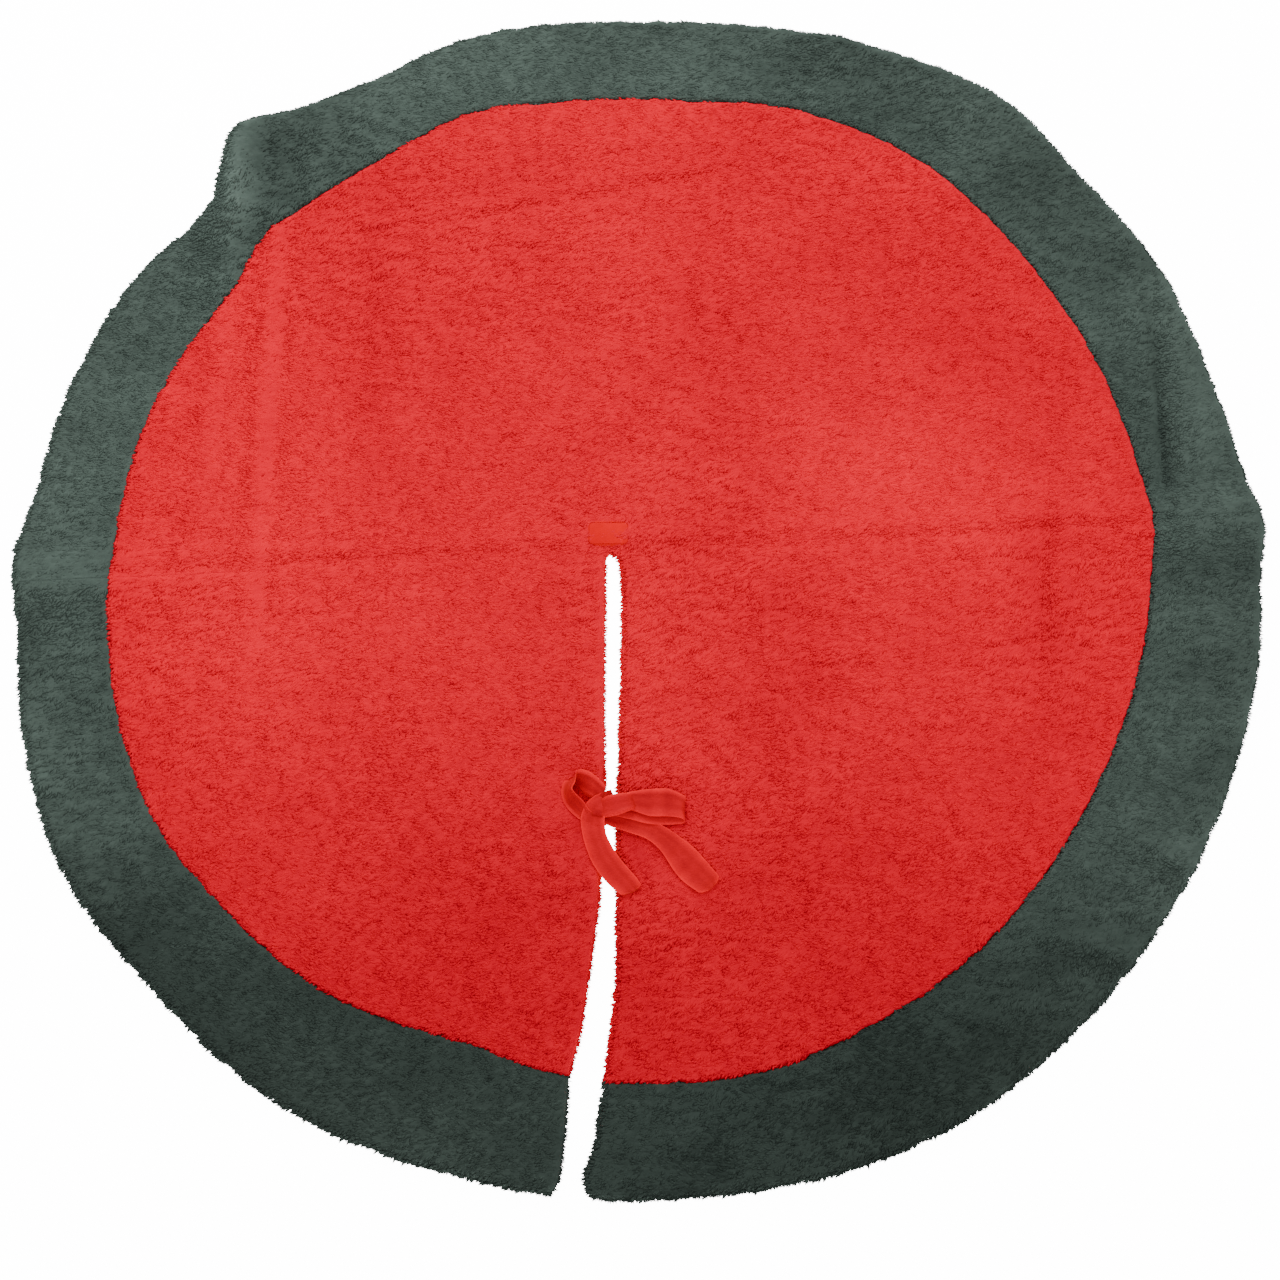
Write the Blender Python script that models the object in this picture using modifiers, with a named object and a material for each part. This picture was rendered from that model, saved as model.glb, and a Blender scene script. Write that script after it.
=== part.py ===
"""Round plush tree skirt, 48 inches across, slit from its centre to the front and tied with a ribbon bow.

Metres, +Z up.  The origin is on the floor at the skirt's centre point, just behind the closed end of the
slit.  -Y is the front, where the slit runs.  The cloth lies flat and folds along one crease, which crosses
the full width at the slit's end: the back half stays down and the two front quarters fold up over it.
"""

import math

import bpy
import bmesh
from mathutils import Vector

MM = 0.001

# ---- driving dimensions ----------------------------------------------------------------------------
SKIRT_RADIUS = 610 * MM
CIRCLE_CENTRE = Vector((23 * MM, 0.0))
CENTRE_SHARE = 0.83              # radius of the red disc as a share of the skirt's radius
SLIT_HEAD = Vector((0.0, -12 * MM))
CREASE_TILT = math.radians(3.4)  # the crease rises to the right
GAP = 0.3 * MM                   # clearance between neighbouring solids

LINING_Z = (0.0, 0.8 * MM)
THREAD_Z = 1.5 * MM
THREAD_RADIUS = 0.4 * MM
PLUSH_Z = (2.2 * MM, 9.0 * MM)
LINING_INSET = 4 * MM
HEM_THREAD_INSET = 12 * MM
SLIT_THREAD_INSET = 9 * MM

ARC_STEP = 4.0                   # degrees between the outline's points
FRONT = 270                      # directions about the circle's centre, by side where there are two
QUARTER = {-1: 225, 1: 315}
BEHIND = {-1: 150, 1: 390}
RIGHT_FRONT = -40
LEFT_FRONT = 220
BACK = 90
SLIT_STEP = 24 * MM
SLIT_HEAD_HALF_WIDTH = 1 * MM

RIBBON_THICKNESS = 1.2 * MM
BOW_FLOOR = PLUSH_Z[1] + 0.4 * MM
TIE_DISTANCE = 250 * MM          # from the slit's end to the bow

# Slow waves of the hand-cut outline: (direction in degrees, half width in degrees, share of the radius).
HEM_WAVES = (
    (2, 3, 0.014), (29, 5, 0.012), (43, 4, -0.010), (52, 12, 0.046), (90, 9, -0.014), (118, 5, -0.018),
    (132.3, 3, 0.045), (140.3, 5.2, -0.038), (157, 12, -0.024), (173, 5, -0.011), (181, 2, 0.010),
    (188, 4, -0.009), (210, 7, 0.018), (238, 8, 0.012), (297, 10, 0.012), (350, 6, 0.006),
)
SEAM_WAVES = (
    (3, 4, 0.008), (60, 13, 0.024), (82, 4, -0.009), (92, 6, -0.010), (110, 4, 0.013), (138, 4, 0.012),
    (146, 3, -0.007), (151, 7, -0.012), (199, 12, 0.019), (211, 6, 0.011), (228, 14, 0.014),
    (251, 6, -0.018), (282, 8, 0.008), (330, 16, -0.017),
)

# The slit's two edges: (distance from its end, sideways place), both in millimetres.
SLIT_LEFT = ((0, -1), (14, -7), (60, -7), (150, -7.5), (234, -6), (338, -11), (450, -26), (492, -37),
             (540, -39.5), (572, -43), (583, -45), (592, -51), (602, -68))
SLIT_RIGHT = ((0, 1), (14, 9), (55, 12), (131, 11), (205, 9), (234, 8), (338, 7.5), (400, 8.5), (492, -2.5),
              (550, -11), (576, -21), (590, -19), (602, 0))

# Stitching.
TRIMMED_SHARE = 0.15             # a thread stops this share of its last step short of a cut edge
SEAM_THREAD_BESIDE_SLIT = 12 * MM
HEM_THREAD_BEYOND_SEAM = 8 * MM
SLIT_THREAD_START = 12 * MM
SLIT_THREAD_BEFORE_BOW = 18 * MM

# Patch over the slit's closed end.
PATCH_CENTRE = Vector((-4 * MM, 11 * MM))
PATCH_SIZE = (43 * MM, 27 * MM)
PATCH_CORNER = 6 * MM
PATCH_STITCH_INSET = 2.5 * MM
PATCH_Z = (PLUSH_Z[1] + GAP, PLUSH_Z[1] + GAP + 0.7 * MM)

# Ribbon ties: strips from under the plush, up through the slit.  (distance from the slit's middle, height).
LEAD_PROFILE = ((26, 1.5), (12, 1.5), (5.0, 1.5), (4.0, 3.2), (3.4, 5.6), (3.0, 8.6))
LEAD_HALF_WIDTH = (0, 9, 0)
LEAD_MIDDLE = 0.8                # sideways middle of the slit at the bow
LEAD_THICKNESS = 0.7 * MM
TACK_BESIDE_LEAD = 2.2
TACK_HALF_LENGTH = 7 * MM

# Bow: stations are (centre, half-width vector) in millimetres, y counted from the slit's end.
KNOT_OUTLINE = ((-27, -262), (-20, -251), (-8, -242), (6, -236.5), (18, -237), (21, -246), (17, -257),
                (6, -263), (-6, -262))
KNOT_Z = (BOW_FLOOR, 18.5 * MM)
KNOT_ROUNDING = 2.5 * MM
LOOP_LEFT = (
    ((-9.5, -238, 13), (3, 4, 3)),
    ((-18, -228, 14), (4, 7, 3)),
    ((-30, -221, 14.5), (2, 9, 3)),
    ((-41, -223, 15), (-5, 6, 3.6)),
    ((-45, -233, 15), (-3, 1, 4.6)),
    ((-42, -245, 14.5), (-2, -2, 4.6)),
    ((-33.5, -254.5, 14), (-2, -2, 4)),
)
LOOP_RIGHT = (
    ((22.5, -247, 10.6), (0, 9, 0)),
    ((34, -249, 10.4), (0, 12.5, 0)),
    ((50, -250, 10.4), (0, 14.5, 0)),
    ((64, -250, 10.8), (0, 14.5, 0)),
    ((69, -249, 13.2), (0, 13.5, 0)),
    ((64, -249, 15.6), (0, 14, 0)),
    ((50, -249, 16.4), (0, 14.5, 0)),
    ((34, -248, 16.2), (0, 12.5, 0)),
    ((22.5, -247, 15.6), (0, 8, 0)),
)
TAIL_LEFT = (
    ((-17.5, -265.5, 10.3), (10.5, 0, 0)),
    ((-14.5, -276.5, 10.2), (10.5, 2, 0)),
    ((-10.5, -286.5, 10.2), (10.5, 3, 0)),
    ((-5, -297, 10.2), (10.6, 4, 0)),
    ((3.5, -308.5, 10.2), (10.4, 5.2, 0)),
    ((13.5, -319.5, 10.2), (9.5, 5.6, 0)),
    ((19.5, -326.5, 10.2), (8.5, 4.2, 0)),
)
TAIL_RIGHT = (
    ((14, -268.5, 10.3), (3, 6, 0)),
    ((27, -269, 10.2), (2.4, 7.4, 0)),
    ((38, -271.5, 10.2), (3, 8.6, 0)),
    ((49.5, -278.5, 10.2), (5, 8.8, 0)),
    ((59, -287.5, 10.2), (7.4, 9.4, 0)),
    ((67.5, -297, 10.2), (9, 10.4, 0)),
    ((77, -307.5, 10.2), (9.6, 9.8, 0)),
    ((86, -316, 10.2), (8.6, 8, 0)),
    ((92, -321, 10.2), (6.5, 6, 0)),
)

RED_PLUSH = ("red_plush", (0.62, 0.035, 0.03), 0.95)
GREEN_PLUSH = ("green_plush", (0.035, 0.07, 0.06), 0.95)
RIBBON = ("ribbon_velvet", (0.72, 0.02, 0.012), 0.7)
LINING = ("lining_cloth", (0.62, 0.60, 0.55), 0.9)
RED_THREAD = ("red_thread", (0.45, 0.03, 0.03), 0.6)
GREEN_THREAD = ("green_thread", (0.03, 0.06, 0.05), 0.6)


# ---- scene helpers ---------------------------------------------------------------------------------
def clear_scene():
    for obj in list(bpy.data.objects):
        bpy.data.objects.remove(obj)


def new_collection(name):
    collection = bpy.data.collections.new(name)
    bpy.context.scene.collection.children.link(collection)
    return collection


def material(finish):
    name, colour, roughness = finish
    found = bpy.data.materials.get(name)
    if found:
        return found
    made = bpy.data.materials.new(name)
    made.use_nodes = True
    shader = made.node_tree.nodes["Principled BSDF"]
    shader.inputs["Base Color"].default_value = (*colour, 1.0)
    shader.inputs["Roughness"].default_value = roughness
    shader.inputs["Metallic"].default_value = 0.0
    return made


def add_object(name, data, finish, collection):
    obj = bpy.data.objects.new(name, data)
    data.materials.append(material(finish))
    collection.objects.link(obj)
    return obj


# ---- outlines --------------------------------------------------------------------------------------
def wave(angle, waves):
    total = 0.0
    for direction, half_width, height in waves:
        away = (angle - direction + 180.0) % 360.0 - 180.0
        total += height * math.exp(-0.5 * (away / half_width) ** 2)
    return total


def hem_radius(angle):
    return SKIRT_RADIUS * (1.0 + wave(angle, HEM_WAVES))


def seam_radius(angle):
    return SKIRT_RADIUS * (CENTRE_SHARE + wave(angle, SEAM_WAVES))


def at_angle(radius, angle, inset=0.0):
    turned = math.radians(angle)
    reach = radius(angle) - inset
    return CIRCLE_CENTRE + reach * Vector((math.cos(turned), math.sin(turned)))


def behind_crease(point):
    """Distance of a plan point behind the crease line, negative in front of it."""
    away = point - SLIT_HEAD
    return away.y * math.cos(CREASE_TILT) - away.x * math.sin(CREASE_TILT)


def on_crease(along, behind=0.0):
    """Plan point at a distance along the crease from the slit's end."""
    line = Vector((math.cos(CREASE_TILT), math.sin(CREASE_TILT)))
    return SLIT_HEAD + along * line + behind * Vector((-line.y, line.x))


def slit_x(stations, distance):
    """Sideways place of a slit edge at a distance in front of the slit's end."""
    reach = distance / MM
    for (near, x_near), (far, x_far) in zip(stations, stations[1:]):
        if reach <= far:
            share = max(0.0, (reach - near) / (far - near))
            return (x_near + share * (x_far - x_near)) * MM
    return stations[-1][1] * MM


def beside_slit(point, side, inset=0.0):
    """Distance of a plan point from the slit's edge into the cloth of that side."""
    stations = SLIT_LEFT if side < 0 else SLIT_RIGHT
    edge = slit_x(stations, SLIT_HEAD.y - point.y) + side * inset
    return side * (point.x - edge)


def angle_where(test, inside, outside):
    """Angle between the two given where the test turns from true to false."""
    for _ in range(40):
        middle = 0.5 * (inside + outside)
        if test(middle):
            inside = middle
        else:
            outside = middle
    return inside


def arc(radius, start, end, inset=0.0):
    steps = max(2, round(abs(end - start) / ARC_STEP))
    return [at_angle(radius, start + (end - start) * i / steps, inset) for i in range(steps + 1)]


def back_arc(radius, inset=0.0):
    """Arc of the back half, from the crease's right end round to its left end."""
    def is_back(angle):
        return behind_crease(at_angle(radius, angle, inset)) > GAP / 2
    return arc(radius, angle_where(is_back, BACK, RIGHT_FRONT), angle_where(is_back, BACK, LEFT_FRONT), inset)


def front_arc(radius, side, inset=0.0, slit_inset=0.0):
    """Arc of one front quarter, from the crease to the slit."""
    def is_front(angle):
        return behind_crease(at_angle(radius, angle, inset)) < -GAP / 2
    def is_clear(angle):
        return beside_slit(at_angle(radius, angle, inset), side, slit_inset) > 0.0
    return arc(radius, angle_where(is_front, QUARTER[side], BEHIND[side]),
               angle_where(is_clear, QUARTER[side], FRONT), inset)


def slit_edge(side, start, end, inset=0.0):
    """Points along one slit edge between two distances from the slit's end."""
    stations = SLIT_LEFT if side < 0 else SLIT_RIGHT
    steps = max(1, round((end - start) / SLIT_STEP))
    inner = [start + (end - start) * i / steps for i in range(1, steps)]
    marks = sorted(inner + [s * MM for s, _ in stations if start < s * MM < end])
    kept = [start]
    for mark in marks:
        if mark - kept[-1] > SLIT_STEP / 3 and end - mark > SLIT_STEP / 3:
            kept.append(mark)
    return [Vector((slit_x(stations, mark) + side * inset, SLIT_HEAD.y - mark)) for mark in kept + [end]]


def front_outline(radius, side, inset=0.0, slit_inset=0.0):
    """One front quarter: crease end, arc to the slit, then up the slit's edge to the crease."""
    rim = front_arc(radius, side, inset, slit_inset)
    reach = SLIT_HEAD.y - rim[-1].y
    edge = slit_edge(side, GAP, reach, slit_inset)
    head = on_crease(side * (SLIT_HEAD_HALF_WIDTH + slit_inset), -GAP / 2)
    return rim + edge[-2:0:-1] + [head]


def border_outline(outer, inner):
    return outer + inner[::-1]


# ---- solids ----------------------------------------------------------------------------------------
def slab(name, outline, heights, finish, collection):
    """Flat piece with the given plan outline between two heights."""
    low, high = heights
    curve = bpy.data.curves.new(name, "CURVE")
    curve.dimensions = "2D"
    curve.fill_mode = "BOTH"
    curve.extrude = (high - low) / 2
    spline = curve.splines.new("POLY")
    spline.points.add(len(outline) - 1)
    for point, place in zip(spline.points, outline):
        point.co = (place.x, place.y, 0.0, 1.0)
    spline.use_cyclic_u = True
    obj = add_object(name, curve, finish, collection)
    obj.location.z = (low + high) / 2
    return obj


def thread(name, route, finish, collection, height=THREAD_Z, closed=False):
    """Round thread along a plan route at one height."""
    curve = bpy.data.curves.new(name, "CURVE")
    curve.dimensions = "3D"
    curve.bevel_depth = THREAD_RADIUS
    curve.bevel_resolution = 1
    curve.use_fill_caps = not closed
    spline = curve.splines.new("POLY")
    spline.points.add(len(route) - 1)
    for point, place in zip(spline.points, route):
        point.co = (place.x, place.y, height, 1.0)
    spline.use_cyclic_u = closed
    return add_object(name, curve, finish, collection)


def ribbon(name, stations, finish, collection, thickness=RIBBON_THICKNESS):
    """Strip of ribbon through (centre, half-width vector) stations, in millimetres."""
    mesh = bpy.data.meshes.new(name)
    strip = bmesh.new()
    rows = len(stations)
    bmesh.ops.create_grid(strip, x_segments=1, y_segments=rows - 1, size=0.5)
    strip.verts.ensure_lookup_table()
    for vert in strip.verts:
        row = round((vert.co.y + 0.5) * (rows - 1))
        centre, half = (Vector(value) for value in stations[row])
        side = 1.0 if vert.co.x > 0 else -1.0
        vert.co = (centre + side * half) * MM + Vector((0.0, SLIT_HEAD.y, 0.0))
    strip.to_mesh(mesh)
    strip.free()
    obj = add_object(name, mesh, finish, collection)
    shell = obj.modifiers.new("thickness", "SOLIDIFY")
    shell.thickness = thickness
    shell.offset = 0.0
    return obj


def soften(obj, width, segments=2):
    weld = obj.modifiers.new("weld", "WELD")
    weld.merge_threshold = 0.00002
    bevel = obj.modifiers.new("rounded_edges", "BEVEL")
    bevel.width = width
    bevel.segments = segments
    bevel.limit_method = "ANGLE"
    bevel.angle_limit = math.radians(50)


# ---- the cloth -------------------------------------------------------------------------------------
def inset_from_seam(angle):
    """Inner edge of the border, a sewing gap outside the red disc."""
    return seam_radius(angle) + GAP


def make_back_half(parts):
    slab("centre_plush_back", back_arc(seam_radius), PLUSH_Z, RED_PLUSH, parts)
    border = border_outline(back_arc(hem_radius), back_arc(inset_from_seam))
    slab("border_plush_back", border, PLUSH_Z, GREEN_PLUSH, parts)
    slab("lining_back", back_arc(hem_radius, LINING_INSET), LINING_Z, LINING, parts)
    thread("seam_thread_back", trimmed(back_arc(seam_radius)), RED_THREAD, parts)
    thread("hem_thread_back", trimmed(back_arc(hem_radius, HEM_THREAD_INSET)), GREEN_THREAD, parts)


def trimmed(route):
    """Route whose first and last points stand back a little from the cut edges."""
    first = route[0].lerp(route[1], TRIMMED_SHARE)
    last = route[-1].lerp(route[-2], TRIMMED_SHARE)
    return [first] + route[1:-1] + [last]


def make_front_quarter(parts, side, word):
    centre = front_outline(seam_radius, side)
    slab(f"centre_plush_{word}", centre, PLUSH_Z, RED_PLUSH, parts)
    inner = front_arc(inset_from_seam, side)
    outer = front_arc(hem_radius, side)
    down_slit = slit_edge(side, SLIT_HEAD.y - inner[-1].y, SLIT_HEAD.y - outer[-1].y)
    border = border_outline(outer + down_slit[-2:0:-1], inner)
    slab(f"border_plush_{word}", border, PLUSH_Z, GREEN_PLUSH, parts)
    backing = front_outline(hem_radius, side, LINING_INSET, LINING_INSET)
    slab(f"lining_{word}", backing, LINING_Z, LINING, parts)


def make_front_threads(parts, side, word, hand):
    seam = front_arc(seam_radius, side, 0.0, SEAM_THREAD_BESIDE_SLIT)
    thread(f"seam_thread_{word}", trimmed(seam), RED_THREAD, parts)
    hem = front_arc(hem_radius, side, HEM_THREAD_INSET, SLIT_THREAD_INSET)
    below_seam = SLIT_HEAD.y - seam[-1].y + HEM_THREAD_BEYOND_SEAM
    up_slit = slit_edge(side, below_seam, SLIT_HEAD.y - hem[-1].y, SLIT_THREAD_INSET)
    hem_route = hem + up_slit[-2::-1]
    thread(f"hem_thread_{word}", trimmed(hem_route), GREEN_THREAD, parts)
    above_bow = slit_edge(side, SLIT_THREAD_START, TIE_DISTANCE - SLIT_THREAD_BEFORE_BOW, SLIT_THREAD_INSET)
    thread(f"slit_thread_{hand}", above_bow, RED_THREAD, parts)


# ---- patch at the slit's end -----------------------------------------------------------------------
def rounded_rectangle(centre, size, corner, steps=3):
    outline = []
    for quadrant in range(4):
        sign_x = (1, -1, -1, 1)[quadrant]
        sign_y = (1, 1, -1, -1)[quadrant]
        hub = centre + Vector((sign_x * (size[0] / 2 - corner), sign_y * (size[1] / 2 - corner)))
        for step in range(steps + 1):
            turned = math.radians(90 * (quadrant + step / steps))
            outline.append(hub + corner * Vector((math.cos(turned), math.sin(turned))))
    return outline


def make_patch(parts):
    outline = rounded_rectangle(PATCH_CENTRE, PATCH_SIZE, PATCH_CORNER)
    slab("slit_end_patch", outline, PATCH_Z, RIBBON, parts)
    stitched = [side - 2 * PATCH_STITCH_INSET for side in PATCH_SIZE]
    route = rounded_rectangle(PATCH_CENTRE, stitched, PATCH_CORNER - PATCH_STITCH_INSET)
    height = PATCH_Z[1] + GAP + THREAD_RADIUS
    thread("patch_thread", route, RED_THREAD, parts, height, closed=True)


# ---- ribbon ties and bow ---------------------------------------------------------------------------
def make_ties(parts, side, hand):
    """Ribbon sewn in between plush and backing, coming up through the slit to the knot."""
    lead = [((LEAD_MIDDLE + side * x, -TIE_DISTANCE / MM, z), LEAD_HALF_WIDTH) for x, z in LEAD_PROFILE]
    ribbon(f"tie_lead_{hand}", lead, RIBBON, parts, LEAD_THICKNESS)
    tack_x = (LEAD_MIDDLE + side * (LEAD_PROFILE[0][0] + TACK_BESIDE_LEAD)) * MM
    middle = SLIT_HEAD.y - TIE_DISTANCE
    route = [Vector((tack_x, middle - TACK_HALF_LENGTH)), Vector((tack_x, middle + TACK_HALF_LENGTH))]
    thread(f"tie_tack_{hand}", route, RED_THREAD, parts)


def make_bow(parts):
    outline = [Vector((x * MM, y * MM + SLIT_HEAD.y)) for x, y in KNOT_OUTLINE]
    knot = slab("bow_knot", outline, KNOT_Z, RIBBON, parts)
    soften(knot, KNOT_ROUNDING)
    ribbon("bow_loop_left", LOOP_LEFT, RIBBON, parts)
    ribbon("bow_loop_right", LOOP_RIGHT, RIBBON, parts)
    ribbon("bow_tail_left", TAIL_LEFT, RIBBON, parts)
    ribbon("bow_tail_right", TAIL_RIGHT, RIBBON, parts)


def main():
    clear_scene()
    parts = new_collection("tree_skirt")
    make_back_half(parts)
    for side, word, hand in ((-1, "front_left", "left"), (1, "front_right", "right")):
        make_front_quarter(parts, side, word)
        make_front_threads(parts, side, word, hand)
        make_ties(parts, side, hand)
    make_patch(parts)
    make_bow(parts)


main()
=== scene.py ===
"""Looks of the plush tree skirt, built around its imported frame: +Z up, -Y to the front.

Lengths are millimetres unless a comment says otherwise; the objects are in metres, by mesh_object and MM.
"""

import math

import bmesh
import bpy
import numpy as np
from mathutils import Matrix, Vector


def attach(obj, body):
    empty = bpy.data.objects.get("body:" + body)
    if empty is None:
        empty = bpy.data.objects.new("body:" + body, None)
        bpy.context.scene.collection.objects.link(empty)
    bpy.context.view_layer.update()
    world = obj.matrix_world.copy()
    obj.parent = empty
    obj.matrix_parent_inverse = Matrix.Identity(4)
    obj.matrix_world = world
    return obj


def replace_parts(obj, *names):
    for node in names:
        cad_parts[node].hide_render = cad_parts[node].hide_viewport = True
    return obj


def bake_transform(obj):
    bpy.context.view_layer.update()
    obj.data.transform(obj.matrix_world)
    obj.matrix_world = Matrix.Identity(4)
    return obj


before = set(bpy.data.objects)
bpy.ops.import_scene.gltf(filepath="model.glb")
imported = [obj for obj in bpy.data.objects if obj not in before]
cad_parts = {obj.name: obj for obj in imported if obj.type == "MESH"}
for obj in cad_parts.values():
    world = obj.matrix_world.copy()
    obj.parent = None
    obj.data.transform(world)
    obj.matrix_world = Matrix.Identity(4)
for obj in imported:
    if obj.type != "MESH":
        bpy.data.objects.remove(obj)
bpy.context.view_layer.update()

MM = 0.001


# ---- camera ----
CAMERA_AIM = Vector((27, -95, 0)) * MM
CAMERA_RISE = math.radians(74.3)        # how steeply it looks down
CAMERA_DISTANCE = 1.55                  # metres
LENS, SENSOR = 45, 36


def make_camera():
    data = bpy.data.cameras.new("camera")
    data.lens = LENS
    data.sensor_width = SENSOR
    camera = bpy.data.objects.new("camera", data)
    back = Vector((0, -math.cos(CAMERA_RISE), math.sin(CAMERA_RISE)))
    camera.location = CAMERA_AIM + CAMERA_DISTANCE * back
    camera.rotation_euler = (math.pi / 2 - CAMERA_RISE, 0, 0)
    bpy.context.scene.collection.objects.link(camera)
    bpy.context.scene.camera = camera


make_camera()

# ---- driving dimensions ----
RADIUS = 610.0
CENTRE = np.array((23.0, 0.0))
CENTRE_SHARE = 0.83                     # the red disc's share of the radius
HEAD = np.array((0.0, -7.0))            # the slit's closed end
HINGE_Y = -12.0                         # the crease line crosses x = 0 here
CREASE_TILT = math.radians(3.4)
PLUSH_TOP = 9.0                         # height of the pile's surface over the floor
PLUSH_FOOT = 1.4                        # height of the pile's ground
GRID = 2.4
NAP = math.radians(24)                  # the pile lies along this direction
FRINGE_REACH = 3.0                      # the fringe of pile stands this far out from the cloth's edge
HEM_WOBBLE, SEAM_WOBBLE = 1.1, 1.0      # small unevenness of the two outlines

# Slow waves of the outlines: (direction in degrees, half width in degrees, height as a share of RADIUS).
HEM_WAVES = (
    (2, 3, 0.014), (29, 5, 0.012), (43, 4, -0.010), (52, 12, 0.046), (90, 9, -0.014), (118, 5, -0.018),
    (132.3, 3, 0.045), (140.3, 5.2, -0.038), (157, 12, -0.024), (173, 5, -0.011), (181, 2, 0.010),
    (188, 4, -0.009), (210, 7, 0.018), (238, 8, 0.012), (297, 10, 0.012), (350, 6, 0.006),
)
SEAM_WAVES = (
    (3, 4, 0.008), (60, 13, 0.024), (82, 4, -0.009), (92, 6, -0.010), (110, 4, 0.013), (138, 4, 0.012),
    (146, 3, -0.007), (151, 7, -0.012), (199, 12, 0.019), (211, 6, 0.011), (228, 14, 0.014),
    (251, 6, -0.018), (282, 8, 0.008), (330, 16, -0.017),
)
# The slit's edges: (distance in front of its end, place across).
SLIT_LEFT = ((0, 0), (2, -4), (6, -6), (19, -7), (65, -7), (155, -7.5), (239, -6), (343, -11), (455, -26),
             (497, -37), (545, -39.5), (577, -43), (588, -45), (597, -51), (607, -68))
SLIT_RIGHT = ((0, 0), (2, 6), (6, 9), (19, 11), (60, 12), (136, 11), (210, 9), (239, 8), (343, 7.5),
              (405, 8.5), (497, -2.5), (555, -11), (581, -21), (595, -19), (607, 0))


# ---- noise ----
LATTICE = 512
OFFSET = (97.3, 41.7)                   # keeps the origin off the lattice's own lines


class Noise:
    """Smooth value noise from -1 to 1 on a seeded lattice, with its own stretch and direction."""

    def __init__(self, seed, along, across=None, turned=0.0):
        self.table = np.random.RandomState(seed).rand(LATTICE, LATTICE) * 2 - 1
        self.along = along
        self.across = across or along
        self.turned = turned

    def __call__(self, x, y):
        c, s = math.cos(self.turned), math.sin(self.turned)
        u = (x * c + y * s) / self.along + OFFSET[0]
        v = (y * c - x * s) / self.across + OFFSET[1]
        iu, iv = np.floor(u).astype(int), np.floor(v).astype(int)
        fu, fv = u - iu, v - iv
        fu, fv = fu * fu * (3 - 2 * fu), fv * fv * (3 - 2 * fv)

        def corner(i, j):
            return self.table[(iu + i) % LATTICE, (iv + j) % LATTICE]

        low = corner(0, 0) * (1 - fu) + corner(1, 0) * fu
        high = corner(0, 1) * (1 - fu) + corner(1, 1) * fu
        return low * (1 - fv) + high * fv


STROKES = Noise(3, 9.0, 3.6, NAP)
FINE_STROKES = Noise(4, 6.0, 2.6, NAP + 0.2)
TUFTS = Noise(5, 16.0, 10.0, NAP - 0.3)
BLOTCHES = Noise(6, 70.0, 45.0, NAP)
SLOW = Noise(7, 190.0)
EDGE_WOBBLE = Noise(8, 14.0)
EDGE_BUMPS = Noise(9, 6.5)
RIBBON_NOISE = Noise(21, 9.0, 5.0)


# ---- outlines ----
def wave(angle, waves):
    total = np.zeros_like(angle)
    for direction, half_width, height in waves:
        away = (angle - direction + 180.0) % 360.0 - 180.0
        total += height * np.exp(-0.5 * (away / half_width) ** 2)
    return total


def outline_about_head(waves, share, wobble, inset=0.0):
    """Radius of an outline about the slit's end, as a function of direction in radians."""
    angle = np.arange(0, 360, 0.1)
    still = np.zeros_like(angle)
    run = np.radians(angle) * RADIUS
    reach = RADIUS * (share + wave(angle, waves)) - inset
    reach = reach + wobble * (EDGE_WOBBLE(run, still) + 0.7 * EDGE_BUMPS(run, still))
    turned = np.radians(angle)
    spot = CENTRE + reach[:, None] * np.stack([np.cos(turned), np.sin(turned)], 1) - HEAD
    about = np.arctan2(spot[:, 1], spot[:, 0]) % (2 * math.pi)
    order = np.argsort(about)
    about, reach = about[order], np.hypot(*spot.T)[order]

    return lambda direction: np.interp(direction % (2 * math.pi), about, reach, period=2 * math.pi)


HEM = outline_about_head(HEM_WAVES, 1.0, HEM_WOBBLE, FRINGE_REACH)
SEAM = outline_about_head(SEAM_WAVES, CENTRE_SHARE, SEAM_WOBBLE)


def softened(values, half, share=1.0):
    """Values drawn by a share towards their average over half steps to each side."""
    kernel = np.hanning(2 * half + 3)[1:-1]
    padded = np.concatenate([2 * values[0] - values[half:0:-1], values, np.full(half, values[-1])])
    return values + share * (np.convolve(padded, kernel / kernel.sum(), "valid") - values)


def smooth_stations(stations):
    """A short list of (distance, place) stations at each millimetre, softer away from the slit's end."""
    near = np.array(stations, float)
    reach = np.arange(0, near[-1, 0], 1.0)
    place = softened(np.interp(reach, near[:, 0], near[:, 1]), 3)
    return reach, softened(place, 12, np.clip((reach - 20) / 30, 0, 1))


SLIT = {-1: smooth_stations(SLIT_LEFT), 1: smooth_stations(SLIT_RIGHT)}


# ---- heights ----
# Ovals below are rows of (x, y, half width along, half width across, turned in degrees, height or share).
# Soft lifts of the whole cloth off the floor:
LIFTS = (
    (-400, 415, 62, 17, 86, 11),
    (-335, 470, 46, 24, 25, 5),
    (-560, -46, 70, 20, 3, 7),
    (630, 24, 90, 22, 3, 8),
    (415, 470, 110, 60, 50, 3),
    (-540, -330, 60, 40, 30, 3),
    (330, -560, 80, 40, -60, 2.5),
    (-60, -575, 60, 30, 0, 2.5),
    (250, 590, 40, 18, 60, 6),
    (575, 150, 80, 16, 88, 3),
    (-470, -420, 60, 14, 40, 5),
    (560, -330, 50, 12, -28, 5),
    (480, -400, 50, 12, -18, 4),
)
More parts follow.
